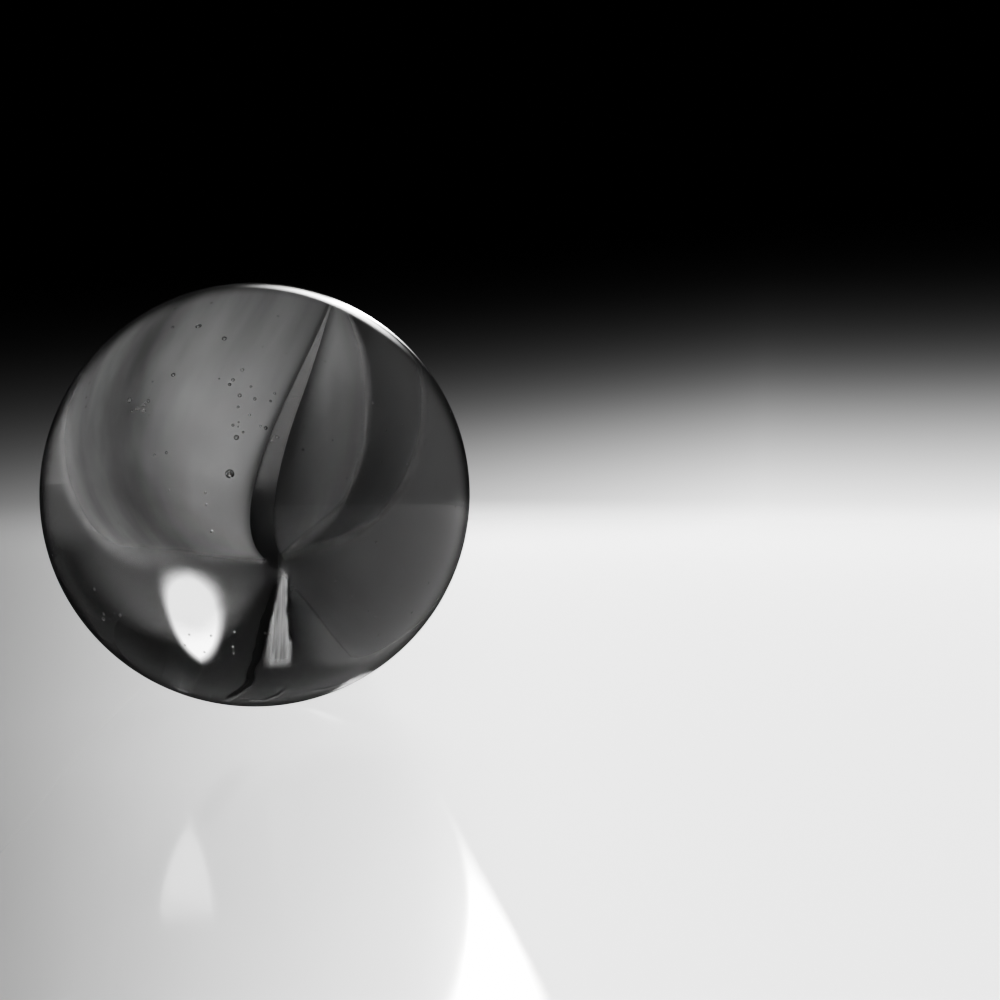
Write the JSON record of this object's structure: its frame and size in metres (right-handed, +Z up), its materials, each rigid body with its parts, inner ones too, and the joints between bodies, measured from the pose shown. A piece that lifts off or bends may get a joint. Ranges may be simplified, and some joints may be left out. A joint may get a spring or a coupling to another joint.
{
  "type": "glass marble",
  "caption": "Clear glass toy marble with translucent grey ribbons fanned from a bowed core strand to the skin",
  "frame": {"origin": "centre of the ball", "axes": "+Z is up as the marble stands in the picture; +X is to the right and -Y toward the viewer, who sees the cut-off end of the core low on the front"},
  "size_m": [0.016, 0.016, 0.016],
  "materials": {
    "clear_glass": "polished clear glass with seed bubbles and light scuffs",
    "light_grey_glass": "translucent light grey glass, streaked along its length",
    "mid_grey_glass": "translucent mid grey glass, streaked along its length",
    "dark_grey_glass": "translucent dark grey glass, streaked along its length",
    "veil_glass": "thin misty grey glass",
    "white_glass": "translucent white glass"
  },
  "bodies": {
    "root": {"clear_glass_body": "clear_glass", "core_strand": "dark_grey_glass", "left_ribbon": "light_grey_glass", "leaf_ribbon": "light_grey_glass", "right_ribbon": "dark_grey_glass", "lower_right_ribbon": "mid_grey_glass", "lower_left_ribbon": "veil_glass", "foot_ribbon": "white_glass"}
  },
  "joints": []
}
